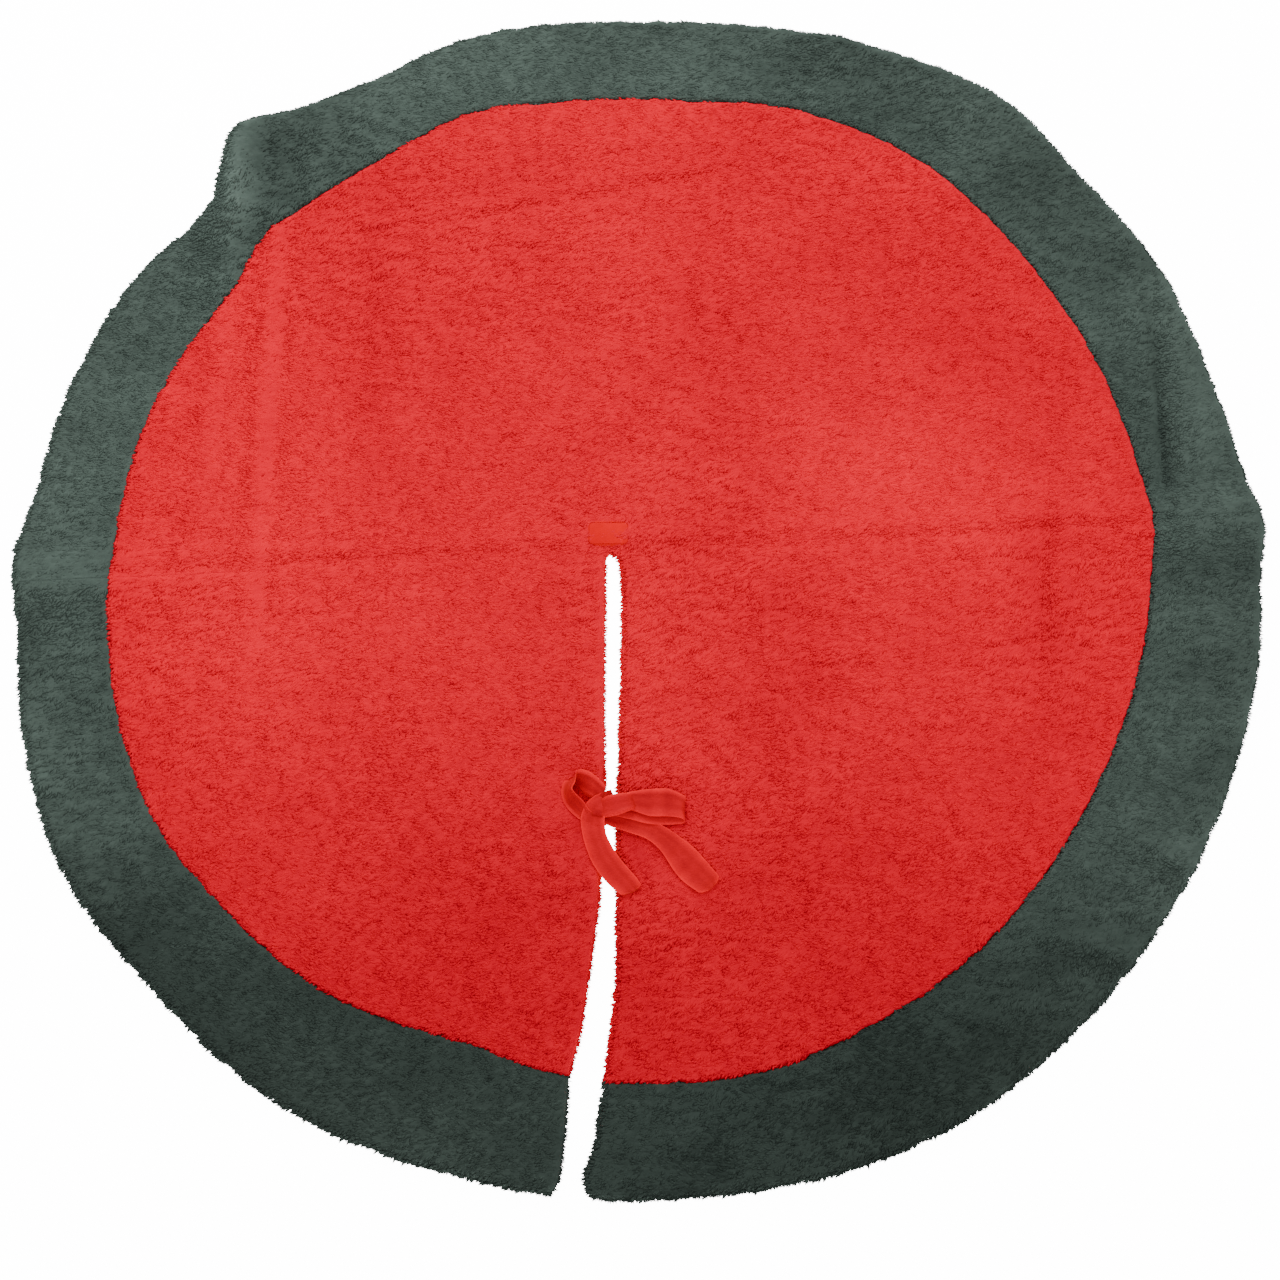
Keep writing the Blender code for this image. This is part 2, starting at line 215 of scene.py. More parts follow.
# Shallow folds left by storage, in the pile's surface:
FOLDS = (
    (-300, -19, 260, 5, 3.4, -1.2),
    (-300, -7, 260, 7, 3.4, 0.8),
    (330, 24, 260, 7, 3.4, 0.9),
    (330, 9, 260, 5, 3.4, -0.7),
    (-352, 180, 190, 8, 90, 1.5),
    (-335, 180, 190, 7, 90, -0.9),
    (-405, 150, 150, 9, 88, 1.0),
    (418, -35, 80, 6, 84, -0.9),
    (437, -35, 75, 8, 84, 0.7),
    (20, 405, 120, 5, 12, 1.5),
    (20, 395, 120, 6, 12, -1.0),
    (300, 150, 150, 60, 10, 0.9),
    (-330, 420, 120, 20, 45, 1.2),
    (549, 150, 70, 3.5, 88, -1.4),
    (538, 150, 60, 6, 88, 0.5),
    (-120, 250, 130, 12, 60, -0.8),
    (180, -250, 150, 14, 100, 0.8),
    (-260, -300, 160, 14, 70, -0.8),
)
# Where the bow presses the pile down, without a height:
BOW_PRINTS = (
    (-30, -246, 26, 26, 0), (0, -262, 34, 22, 0), (46, -262, 38, 20, 0),
    (-8, -300, 16, 40, 25), (50, -300, 52, 18, -38),
)
RELIEF = ((0.45, STROKES), (0.25, FINE_STROKES), (0.4, TUFTS), (0.6, BLOTCHES))  # heights of the clumps
LIE = 0.5                               # the cloth lies this high over the floor, more or less
PRESS_DEPTH = 1.0                       # the pile under the bow is lower by this
PRESS_SMOOTH = 0.6                      # and its relief is less by this share
LEAST_PILE = 0.3                        # depth that is left of the pile at an edge
HEM_ROUND, SEAM_ROUND, SLIT_ROUND = 7.0, 3.0, 4.5


def oval(x, y, row):
    """Place about an oval's middle, along and across it, in its half widths."""
    at_x, at_y, along, across, turned = row[:5]
    c, s = math.cos(math.radians(turned)), math.sin(math.radians(turned))
    return ((x - at_x) * c + (y - at_y) * s) / along, ((y - at_y) * c - (x - at_x) * s) / across


def bumps(x, y, rows):
    total = np.zeros_like(x)
    for row in rows:
        u, v = oval(x, y, row)
        total += row[5] * np.exp(-0.5 * (u * u + v * v))
    return total


def lift(x, y):
    """How far the cloth stands off the floor where nothing presses it."""
    return bumps(x, y, LIFTS) + LIE * (1 + SLOW(x, y))


def pile_relief(x, y):
    """Height of the pile's surface about its mean: clumps, nap and storage folds."""
    return sum(height * noise(x, y) for height, noise in RELIEF) + bumps(x, y, FOLDS)


def edge_profile(distance, round_over):
    """Share of the full height at a distance inside a rounded edge."""
    inside = np.clip(distance / round_over, 0, 1)
    return np.sqrt(np.clip(1 - (1 - inside) ** 2, 0, 1))


def pressed(x, y):
    """Share from 0 to 1 by which the bow flattens the pile."""
    total = np.zeros_like(x)
    for row in BOW_PRINTS:
        total = np.maximum(total, np.clip(1.6 - np.hypot(*oval(x, y, row)), 0, 1))
    return total


def ground_at(x, y):
    """Height on which the cloth lies."""
    return lift(x, y) * (1 - pressed(x, y))


def foot_at(x, y):
    return PLUSH_FOOT + ground_at(x, y)


def pile_at(x, y, edges):
    """Height of the pile's surface; edges are (distance inside, rounding) pairs."""
    press = pressed(x, y)
    full = PLUSH_TOP - PLUSH_FOOT - PRESS_DEPTH * press + pile_relief(x, y) * (1 - PRESS_SMOOTH * press)
    for distance, rounding in edges:
        full = full * edge_profile(distance, rounding)
    return foot_at(x, y) + LEAST_PILE + full


# ---- mesh helpers ----
def mesh_object(name, points, *face_groups):
    """Object from points in millimetres and groups of (faces, smooth, material index per face or 0)."""
    mesh = bpy.data.meshes.new(name)
    mesh.vertices.add(len(points))
    mesh.vertices.foreach_set("co", (np.asarray(points, float) * MM).astype(np.float32).ravel())
    corners, starts, smooth, slots, used = [], [], [], [], 0
    for faces, is_smooth, material in face_groups:
        if isinstance(faces, np.ndarray):
            sizes = np.full(len(faces), faces.shape[1])
            flat = faces.ravel()
        else:
            sizes = np.array([len(face) for face in faces])
            flat = np.concatenate([np.asarray(face) for face in faces])
        corners.append(flat)
        starts.append(used + np.concatenate([[0], np.cumsum(sizes)[:-1]]))
        smooth.append(np.full(len(sizes), is_smooth))
        slots.append(np.broadcast_to(material, len(sizes)))
        used += len(flat)
    mesh.loops.add(used)
    mesh.loops.foreach_set("vertex_index", np.concatenate(corners).astype(np.int32))
    mesh.polygons.add(sum(len(part) for part in starts))
    mesh.polygons.foreach_set("loop_start", np.concatenate(starts).astype(np.int32))
    mesh.polygons.foreach_set("use_smooth", np.concatenate(smooth))
    mesh.polygons.foreach_set("material_index", np.concatenate(slots).astype(np.int32))
    mesh.update(calc_edges=True)
    mesh.validate()
    obj = bpy.data.objects.new(name, mesh)
    bpy.context.scene.collection.objects.link(obj)
    return obj


def grid_faces(rows, columns):
    a = (np.arange(rows - 1)[:, None] * columns + np.arange(columns - 1)[None, :]).ravel()
    return np.stack([a, a + 1, a + columns + 1, a + columns], 1)


def rim_of(rows, columns):
    """Indices round the edge of a grid."""
    index = np.arange(rows * columns).reshape(rows, columns)
    return np.concatenate([index[0], index[1:, -1], index[-1, -2::-1], index[-2:0:-1, 0]])


def between(first, last, every):
    """Whole numbers from first to last, or only the two ends."""
    step = 1 if last >= first else -1
    return list(range(first, last + step, step)) if every else [first, last]


def slab(name, x, y, top, bottom, coarse=4, fine_rows=0, fine_columns=0):
    """Closed sheet: a fine top grid, a wall round it and a coarser underside, fine where it is to bend."""
    rows, columns = x.shape
    rim = rim_of(rows, columns)
    flat_x, flat_y = x.ravel(), y.ravel()
    turn = np.sum(flat_x[rim] * np.roll(flat_y[rim], -1) - np.roll(flat_x[rim], -1) * flat_y[rim])
    wide = [*range(0, fine_rows), *range(fine_rows, rows - 1, coarse), rows - 1]
    long = [*range(0, fine_columns), *range(fine_columns, columns - 1, coarse), columns - 1]
    kept = np.unique(np.concatenate([rim, (np.array(wide)[:, None] * columns + np.array(long)).ravel()]))
    under = np.full(rows * columns, -1)
    under[kept] = rows * columns + np.arange(len(kept))
    points = np.concatenate([
        np.stack([flat_x, flat_y, top.ravel()], 1),
        np.stack([flat_x[kept], flat_y[kept], bottom.ravel()[kept]], 1),
    ])
    floor_faces = []
    for r0, r1 in zip(wide, wide[1:]):
        for c0, c1 in zip(long, long[1:]):
            path = [(r0, c) for c in between(c0, c1, r0 == 0)]
            path += [(r, c1) for r in between(r0, r1, c1 == columns - 1)]
            path += [(r1, c) for c in between(c1, c0, r1 == rows - 1)]
            path += [(r, c0) for r in between(r1, r0, c0 == 0)]
            ring = list(dict.fromkeys(r * columns + c for r, c in path))
            floor_faces.append(under[ring[::-1]])
    following = np.roll(rim, -1)
    walls = np.stack([rim, under[rim], under[following], following], 1)
    tops = grid_faces(rows, columns)
    if turn < 0:
        tops, walls = tops[:, ::-1], walls[:, ::-1]
        floor_faces = [face[::-1] for face in floor_faces]
    return mesh_object(name, points, (tops, True, 0), (walls, False, 0), (floor_faces, True, 0))


def tube(name, points, smooth_ends=False):
    """Closed tube from rows of points round it."""
    rows, ring = points.shape[:2]
    i = np.arange(rows - 1)[:, None] * ring
    j = np.arange(ring)[None, :]
    k = (j + 1) % ring
    faces = np.stack([(i + j).ravel(), (i + k).ravel(), (i + ring + k).ravel(), (i + ring + j).ravel()], 1)
    ends = [np.arange(ring)[::-1], (rows - 1) * ring + np.arange(ring)]
    obj = mesh_object(name, points.reshape(-1, 3), (faces, True, 0), (ends, smooth_ends, 0))
    shape = bmesh.new()
    shape.from_mesh(obj.data)
    bmesh.ops.recalc_face_normals(shape, faces=shape.faces)
    shape.to_mesh(obj.data)
    shape.free()
    return obj


# ---- the cloth's plan ----
BACK, LEFT, RIGHT = "back", "front_left", "front_right"
BODIES = {BACK: "back_half", LEFT: "front_left", RIGHT: "front_right"}
SIDES = {LEFT: -1, RIGHT: 1}
EDGE_ROWS = np.array((0.0, 0.5, 1.3, 2.6, 4.4, 6.5))  # the finer rows just inside an edge
FAR = 1e3                               # stands for "no edge near"
BORDER_MIDDLE = 0.92                    # the border's middle radius, as a share
LINING_STEP, LINING_BEND, LINING_BEND_ROWS = 6.0, 36, 19  # the lining's grid, and its finer part by the bend


def slit_direction(side, reach):
    """Direction of a slit edge about the slit's end at a distance from it."""
    distance, across = SLIT[side]
    return np.interp(reach, np.hypot(distance, across), np.arctan2(-distance, across + 1e-6))


def sector(part, turn, reach_at):
    """Points of a part: turn goes from its crease (0) to its other limit (1), reach_at gives the distance."""
    if part == BACK:
        direction = CREASE_TILT + turn * math.pi
        reach = reach_at(direction)
    else:
        start = CREASE_TILT if part == RIGHT else CREASE_TILT - math.pi
        end = np.full_like(turn, -math.pi / 2)
        for _ in range(4):              # the slit's direction depends on the distance, so settle both
            direction = start + turn * (end - start)
            reach = reach_at(direction)
            end = slit_direction(SIDES[part], reach)
    return HEAD[0] + reach * np.cos(direction), HEAD[1] + reach * np.sin(direction), direction, reach


def inside_slit(part, x, y):
    """Distance from a front quarter's slit edge."""
    if part == BACK:
        return np.full_like(x, FAR)
    side = SIDES[part]
    return side * (x - np.interp(HEAD[1] - y, *SLIT[side]))


def spaced(length, fine_start, fine_end):
    """Shares of a length at even steps, with finer rows at its rounded ends."""
    first = EDGE_ROWS if fine_start else EDGE_ROWS[:1]
    last = length - (EDGE_ROWS[::-1] if fine_end else EDGE_ROWS[:1])
    count = max(2, round((last[0] - first[-1]) / GRID) + 1)
    return np.concatenate([first[:-1], np.linspace(first[-1], last[0], count), last[1:]]) / length


def disc_plan(part, along, out, outline, inset=0.0):
    """Plan of a disc's part: a square grid wrapped round it, with the distances inside its edges."""
    if part == BACK:
        along = np.concatenate([-out[:0:-1], out])
    a, b = np.meshgrid(along, out)
    share = np.maximum(np.abs(a), b)
    turn = 0.5 * np.minimum(np.abs(a), b) / np.maximum(share, 1e-9)
    turn = np.where(np.abs(a) >= b, turn, 1 - turn)
    if part == BACK:
        turn = np.where(a >= 0, turn / 2, 1 - turn / 2)
    x, y, direction, reach = sector(part, turn, lambda d: share * (outline(d) - inset))
    return x, y, outline(direction) - inset - reach, inside_slit(part, x, y)


def red_plan(part):
    size = RADIUS * CENTRE_SHARE
    return disc_plan(part, spaced(size, True, True), spaced(size, False, True), SEAM)


def lining_plan(part):
    near = np.linspace(0, LINING_BEND, LINING_BEND_ROWS)
    rest = np.linspace(near[-1], RADIUS, round((RADIUS - near[-1]) / LINING_STEP))
    out = np.concatenate([near[:-1], rest]) / RADIUS
    return disc_plan(part, out, out, HEM, LINING_INSET)


def green_plan(part):
    """Plan grid of the border's part, with the distances inside its hem, its seam and its slit edge."""
    angle = math.pi if part == BACK else math.pi / 2
    along = spaced(angle * RADIUS * BORDER_MIDDLE, False, part != BACK)
    across = spaced(RADIUS * (1 - CENTRE_SHARE), True, True)
    turn, share = np.meshgrid(along, across)
    x, y, direction, reach = sector(part, turn, lambda d: HEM(d) - share * (HEM(d) - SEAM(d)))
    return x, y, HEM(direction) - reach, reach - SEAM(direction), inside_slit(part, x, y)


# ---- colours and materials ----
TONE = "tone_with_painted_light"                       # vertex attribute: how light a toned cloth is at a point, painted light and shade included
RED = (0.745, 0.002, 0.021)
GREEN = (0.058, 0.079, 0.0675)
RIBBON_RED = (0.58, 0.0, 0.008)
PATCH_RED = (0.75, 0.0, 0.006)
PATCH_THREAD_RED = (0.6, 0.0, 0.007)
LINING_COLOUR = (0.60, 0.03, 0.035)
THREAD_RED = (0.5, 0.02, 0.02)
THREAD_GREEN = (0.02, 0.05, 0.04)
VELVET_SHEEN = (1.0, 0.10, 0.04)
RED_STEPS = (0.68, 0.80, 0.92, 1.04, 1.16)  # shades of the pile's locks, for its patches and its painted light and shade
GREEN_STEPS = (0.42, 0.60, 0.80, 1.0, 1.25)
PILE_ROUGHNESS, PILE_SHEEN = 0.9, 0.15
NAP_STRETCH = 0.45                      # the flecks are drawn out along the nap
FLECK_BAND, FLECK_DETAIL = (0.32, 0.68), 3  # noise values of the darkest and lightest flecks
DRIFT_BAND, DRIFT_RANGE, DRIFT_DETAIL = (0.3, 0.7), (0.9, 1.08), 4
BUMP_STRENGTH = 0.6


def material(name, colour, roughness=0.9, sheen=0.0, sheen_tint=None, sheen_roughness=0.4, specular=0.0):
    mat = bpy.data.materials.new(name)
    mat.use_nodes = True
    shader = mat.node_tree.nodes["Principled BSDF"]
    shader.inputs["Base Color"].default_value = (*colour, 1)
    shader.inputs["Roughness"].default_value = roughness
    shader.inputs["Specular IOR Level"].default_value = specular
    shader.inputs["Sheen Weight"].default_value = sheen
    shader.inputs["Sheen Roughness"].default_value = sheen_roughness
    shader.inputs["Sheen Tint"].default_value = (*(sheen_tint or colour), 1)
    mat.diffuse_color = (*colour, 1)
    return mat


def shade(colour, amount):
    return tuple(min(1.0, channel * amount) for channel in colour)


def noise_texture(tree, scale, detail, vector):
    noise = tree.nodes.new("ShaderNodeTexNoise")
    noise.inputs["Scale"].default_value = scale
    noise.inputs["Detail"].default_value = detail
    tree.links.new(vector, noise.inputs["Vector"])
    return noise.outputs["Fac"]


def cloth_material(name, colour, dark, light, stroke=0.004, blotch=0.09, bump=0.0012, toned=False, **finish):
    """Cloth whose colour drifts and is flecked along the nap; stroke, blotch and bump are in metres."""
    mat = material(name, colour, **finish)
    nodes, links = mat.node_tree.nodes, mat.node_tree.links
    shader = nodes["Principled BSDF"]
    place = nodes.new("ShaderNodeTexCoord").outputs["Object"]
    nap = nodes.new("ShaderNodeMapping")
    nap.inputs["Rotation"].default_value = (0, 0, -NAP)
    nap.inputs["Scale"].default_value = (NAP_STRETCH, 1.0, 1.0)
    links.new(place, nap.inputs["Vector"])
    flecks = noise_texture(mat.node_tree, 1 / stroke, FLECK_DETAIL, nap.outputs["Vector"])
    drift = noise_texture(mat.node_tree, 1 / blotch, DRIFT_DETAIL, place)

    fleck_colour = nodes.new("ShaderNodeValToRGB")
    for stop, position, amount in zip(fleck_colour.color_ramp.elements, FLECK_BAND, (dark, light)):
        stop.position = position
        stop.color = (*shade(colour, amount), 1)
    links.new(flecks, fleck_colour.inputs["Fac"])
    drift_level = nodes.new("ShaderNodeMapRange")
    drift_level.inputs["From Min"].default_value, drift_level.inputs["From Max"].default_value = DRIFT_BAND
    drift_level.inputs["To Min"].default_value, drift_level.inputs["To Max"].default_value = DRIFT_RANGE
    links.new(drift, drift_level.inputs["Value"])
    level = drift_level.outputs["Result"]
    if toned:
        tone = nodes.new("ShaderNodeAttribute")
        tone.attribute_name = TONE
        both = nodes.new("ShaderNodeMath")
        both.operation = "MULTIPLY"
        links.new(level, both.inputs[0])
        links.new(tone.outputs["Fac"], both.inputs[1])
        level = both.outputs["Value"]
    scaled = nodes.new("ShaderNodeVectorMath")
    scaled.operation = "SCALE"
    links.new(fleck_colour.outputs["Color"], scaled.inputs[0])
    links.new(level, scaled.inputs["Scale"])
    links.new(scaled.outputs["Vector"], shader.inputs["Base Color"])

    relief = nodes.new("ShaderNodeBump")
    relief.inputs["Distance"].default_value = bump
    relief.inputs["Strength"].default_value = BUMP_STRENGTH
    links.new(flecks, relief.inputs["Height"])
    links.new(relief.outputs["Normal"], shader.inputs["Normal"])
    return mat


def pile_shades(name, colour, steps):
    return [material(f"{name} pile {i}", shade(colour, amount), PILE_ROUGHNESS, PILE_SHEEN)
            for i, amount in enumerate(steps)]


RED_BASE = cloth_material("red plush ground", RED, 0.94, 1.10, toned=True, roughness=0.95, sheen=0.1)
GREEN_BASE = cloth_material("green plush ground", GREEN, 0.90, 1.15, toned=True, roughness=0.95, sheen=0.1)
RED_SHADES = pile_shades("red", RED, RED_STEPS)
GREEN_SHADES = pile_shades("green", GREEN, GREEN_STEPS)
RIBBON = cloth_material("velvet ribbon", RIBBON_RED, 0.9, 1.06, stroke=0.0012, blotch=0.02, bump=0.0003,
                        toned=True, roughness=0.7, sheen=1.0, sheen_tint=VELVET_SHEEN, sheen_roughness=0.3,
                        specular=0.1)
PATCH = cloth_material("velvet patch", PATCH_RED, 0.95, 1.04, stroke=0.0012, blotch=0.02, bump=0.0002,
                       roughness=0.8, sheen=0.1)
LINING = cloth_material("lining", LINING_COLOUR, 0.85, 1.1, stroke=0.0015, blotch=0.15, bump=0.0004,
                        roughness=0.85)
RED_THREAD = cloth_material("red thread", THREAD_RED, 0.75, 1.2, stroke=0.0008, bump=0.0002,
                            roughness=0.6)
GREEN_THREAD = cloth_material("green thread", THREAD_GREEN, 0.75, 1.3, stroke=0.0008, bump=0.0002,
                              roughness=0.6)
PATCH_THREAD = cloth_material("patch thread", PATCH_THREAD_RED, 0.9, 1.1, stroke=0.0008, bump=0.0001,
                              roughness=0.7)


def wear(obj, *materials):
    for mat in materials:
        obj.data.materials.append(mat)
    return obj


def set_tone(obj, values):
    """Writes a lightness for each vertex, for a toned material."""
    attribute = obj.data.attributes.new(TONE, "FLOAT", "POINT")
    attribute.data.foreach_set("value", np.asarray(values).ravel().astype(np.float32))
    return obj


# ---- how light or dark the pile is: its patches, and painted light and shade ----
# Ovals that are lighter by a share, or darker where it is below 0: patches of the pile, and painted light and
# shade.
# A painted highlight at (285, 65), painted shade in the fold near (415, -40), and the bow's painted shadow in
# the last three rows:
RED_PATCHES_AND_PAINTED_LIGHT = (
    (285, 65, 120, 60, 5, 0.22), (-380, 190, 60, 220, 8, 0.10), (-330, -80, 120, 70, 10, 0.08),
    (150, -60, 60, 140, 10, -0.08), (330, 300, 120, 80, -40, -0.07), (120, 260, 40, 200, 0, -0.06),
    (415, -40, 16, 110, 6, -0.06), (440, 80, 14, 90, -8, -0.08), (-110, -330, 60, 90, 0, -0.06),
    (30, -120, 40, 120, 0, 0.05), (-240, 240, 12, 140, 2, -0.08), (-20, 330, 80, 60, 0, 0.04),
    (-230, 300, 150, 110, 20, -0.08), (24, -303, 20, 12, -45, -0.22), (12, -272, 30, 8, 10, -0.25),
    (-30, -285, 6, 30, 10, -0.10),
)
# Painted light and shade on the sides of the lifted fold at (-398, 400) and (-355, 420), in and beside the
# fold at x = 549, and beside the lifted crease at (590, -30) and (600, 40); the rest are patches of the pile:
GREEN_PATCHES_AND_PAINTED_LIGHT = (
    (-398, 400, 13, 55, 0, 0.40), (-355, 420, 24, 50, 0, -0.22), (-30, 560, 180, 50, 0, 0.14),
    (-440, 380, 50, 60, 30, 0.10), (549, 150, 4, 75, 2, -0.32), (580, 150, 16, 80, 2, 0.15),
    (525, 170, 14, 80, 10, -0.10), (590, -30, 80, 10, 5, -0.18), (600, 40, 50, 20, 0, 0.12),
    (-580, 60, 60, 90, 0, 0.10), (-560, -60, 60, 60, 0, -0.10), (-535, -290, 50, 60, 20, 0.10),
    (560, -150, 60, 120, 0, -0.08), (540, -310, 24, 24, 0, 0.10), (-110, -580, 60, 30, 0, 0.14),
    (200, -560, 90, 40, 0, -0.12), (-300, -480, 90, 40, -40, 0.10), (575, 60, 70, 240, 0, 0.20),
    (-565, 40, 60, 230, 0, 0.10),
)
# Painted shade: the pile is darker by a share towards the front and the right, where less light falls, and on
# the border's front also where its nap lies away: (share, from, to).
RED_FRONT_PAINTED_SHADE = (0.24, 90, 540)
GREEN_RIGHT_PAINTED_SHADE, GREEN_FRONT_SHADE_AND_NAP = (0.14, -300, 400), (0.50, 230, 470)
GREEN_LEVEL = 1.08


def ramp(value, share, low, high):
    """Rises smoothly to a share as a value goes from low to high."""
    rise = np.clip((value - low) / (high - low), 0, 1)
    return share * (rise * rise * (3 - 2 * rise))


def red_tone(x, y):
    # painted shade: darker towards the front
    front = 1 - ramp(-y, *RED_FRONT_PAINTED_SHADE)
    return front * (1 + bumps(x, y, RED_PATCHES_AND_PAINTED_LIGHT) + 0.045 * BLOTCHES(x, y) + 0.03 * TUFTS(x, y))


def green_tone(x, y):
    # painted shade: darker towards the right and the front, at the front partly the nap's lie
    front = GREEN_LEVEL - ramp(x + 0.3 * y, *GREEN_RIGHT_PAINTED_SHADE) - ramp(-y - 0.12 * x, *GREEN_FRONT_SHADE_AND_NAP)
    return front * (1 + bumps(x, y, GREEN_PATCHES_AND_PAINTED_LIGHT) + 0.14 * BLOTCHES(x, y) + 0.10 * TUFTS(x, y))


def with_tone_and_painted_light(obj, tone):
    """Gives a sheet's vertices the lightness of the pile, painted light and shade included."""
    spots = np.zeros(len(obj.data.vertices) * 3, np.float32)
    obj.data.vertices.foreach_get("co", spots)
    spots = spots.reshape(-1, 3) / MM
    return set_tone(obj, tone(spots[:, 0].astype(float), spots[:, 1].astype(float)))


# ---- pile ----
PIECE_LOCKS = 19000                     # most locks in one piece
LOCK_CHANCE = 0.85                      # share of the grid's cells that grow a lock
PILE_LOCK = (6.0, 1.3, 0.75)            # length, half width, rise
FRINGE_LOCK = (4.2, 0.55, 0.5, 0.3)     # the same, and how far its sides droop
FRINGE_SPACING = 0.35
FRINGE_FOOT, FRINGE_TOP = 2.2, 7.0      # heights between which it grows
FRINGE_TURN = 0.5                       # how unevenly it points out, in radians
HEAD_CLEAR = 13.0                       # no fringe this near the slit's closed end
NAP_SPREAD = 0.3                        # how unevenly the pile lies, in radians
SHADE_FLECK, SHADE_SPREAD = 0.05, 0.07  # how much a lock's shade varies: in strokes, and from lock to lock


def nap_direction(x, y):
    """Which way the pile lies: mostly one way, swirled by handling."""
    return math.pi + NAP + 0.5 * SLOW(y, x) + 0.55 * TUFTS(x + 300, y)


def locks(name, root, forward, dice, length, width, rise, tone, steps, droop=0.5):
    """One curved, tapering lock of pile at each root; forward is its level direction, rise its height."""
    count = len(root)
    sideways = np.stack([-forward[:, 1], forward[:, 0], np.zeros(count)], 1)
    up = np.array((0, 0, 1.0))
    reach = (length * dice.uniform(0.75, 1.2, count))[:, None]
    half = (width * dice.uniform(0.8, 1.25, count))[:, None]
    high = (rise * dice.uniform(0.4, 1.3, count))[:, None]
    bend = (dice.normal(0, 0.12, count))[:, None] * reach
    # Three points at its root, two of them sunk into the ground, three across its middle, and its tip.
    points = np.stack([
        root - sideways * half * 0.7 - up * 1.0,
        root + sideways * half * 0.7 - up * 1.0,
        root + up * high * 0.35,
        root + forward * reach * 0.5 - sideways * half + up * (high * 0.5 - droop),
        root + forward * reach * 0.5 + sideways * half + up * (high * 0.5 - droop),
        root + forward * reach * 0.5 + up * high,
        root + forward * reach + sideways * bend + up * (high * 0.3 - 0.2),
    ], 1)
    points[:, :, 2] = np.maximum(points[:, :, 2], 0.2)
    first = np.arange(count)[:, None] * 7
    quads = np.concatenate([first + (0, 3, 5, 2), first + (2, 5, 4, 1), first + (1, 4, 3, 0)])
    triangles = np.concatenate([first + (3, 6, 5), first + (5, 6, 4), first + (4, 6, 3), first + (0, 2, 1)])
    # A lock's shade follows the tone, painted light and shade included, with flecks and a spread.
    wanted = tone(root[:, 0], root[:, 1]) + SHADE_FLECK * STROKES(root[:, 0] + 50, root[:, 1])
    wanted = wanted * (1 + dice.normal(0, SHADE_SPREAD, count))
    limits = (np.array(steps)[1:] + np.array(steps)[:-1]) / 2
    level = np.searchsorted(limits, wanted)
    return mesh_object(
        name, points.reshape(-1, 3),
        (quads[:2 * count], True, np.tile(level, 2)), (quads[2 * count:], False, level),
        (triangles[:2 * count], True, np.tile(level, 2)), (triangles[2 * count:], False, np.tile(level, 2)),
    )


def roots_on(x, y, z, chance, dice):
    """Scattered roots over a surface grid, at most one to a cell."""
    shape = x[:-1, :-1].shape
    u, v = dice.rand(*shape), dice.rand(*shape)
    chosen = dice.rand(*shape) < chance

    def spread(field):
        near = field[:-1, :-1] * (1 - v) + field[:-1, 1:] * v
        far = field[1:, :-1] * (1 - v) + field[1:, 1:] * v
        return (near * (1 - u) + far * u)[chosen]

    return np.stack([spread(x), spread(y), spread(z)], 1)


def with_nap(root, dice):
    direction = nap_direction(root[:, 0], root[:, 1]) + dice.normal(0, NAP_SPREAD, len(root))
    return np.stack([np.cos(direction), np.sin(direction), np.zeros(len(root))], 1)


def edge_roots(x, y, dice):
    """Roots along an open edge at mixed heights, with the direction out of the cloth on the edge's left."""
    run = np.concatenate([[0], np.cumsum(np.hypot(np.diff(x), np.diff(y)))])
    count = int(run[-1] / FRINGE_SPACING)
    spot = np.sort(dice.rand(count)) * run[-1]

    def at(place):
        return np.stack([np.interp(place, run, x), np.interp(place, run, y)], 1)

    along = at(spot + 3) - at(spot - 3)
    along /= np.linalg.norm(along, axis=1)[:, None] + 1e-9
    turn = dice.normal(0, FRINGE_TURN, count)[:, None]
    out = np.stack([-along[:, 1], along[:, 0]], 1)
    forward = out * np.cos(turn) + along * np.sin(turn)
    edge = at(spot)
    clear = np.hypot(*(edge - HEAD).T) > HEAD_CLEAR
    edge, out, forward = edge[clear], out[clear], forward[clear]
    level = dice.rand(len(edge))
    height = lift(edge[:, 0], edge[:, 1]) + FRINGE_FOOT + (FRINGE_TOP - FRINGE_FOOT) * level
    inset = 0.8 + 3.0 * level ** 2
    root = np.column_stack([edge - out * inset[:, None], height])
    return root, np.column_stack([forward, np.zeros(len(edge))])


def lock_pieces(name, root, forward, dice, shape, tone, steps, shades):
    """The locks on these roots, in strips of at most PIECE_LOCKS across the cloth."""
    strips = np.array_split(np.argsort(root[:, 0], kind="stable"), math.ceil(len(root) / PIECE_LOCKS))
    return [wear(locks(f"{name}_{n}", root[strip], forward[strip], dice, *shape[:3], tone, steps, *shape[3:]),
                 *shades) for n, strip in enumerate(strips, 1)]


def grown_pile(name, grid, edges, dice, *look):
    """Pile over a sheet's top and a finer fringe of it over the sheet's open edges."""
    root = roots_on(*grid, LOCK_CHANCE, dice)
    pieces = lock_pieces(f"pile_{name}", root, with_nap(root, dice), dice, PILE_LOCK, *look)
    if edges:
        root, forward = (np.concatenate(part) for part in zip(*(edge_roots(x, y, dice) for x, y in edges)))
        pieces += lock_pieces(f"fringe_{name}", root, forward, dice, FRINGE_LOCK, *look)
    return pieces


# ---- building the cloth ----
BEND_LINES = 16                         # grid lines of a front quarter that cross the bend
LINING_INSET = 4.0                      # the lining is smaller than the plush by this
LINING_EASE = 60.0                      # at the slit, it is eased in over this distance
LINING_LOW, LINING_HIGH = 0.3, 1.1      # its two faces over the ground


def move_with(obj, part):
    """A back piece rides on the back half; a front one keeps its place, its transform baked into its mesh."""
    if part == BACK:
        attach(obj, BODIES[BACK])
    else:
        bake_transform(obj)
    return obj


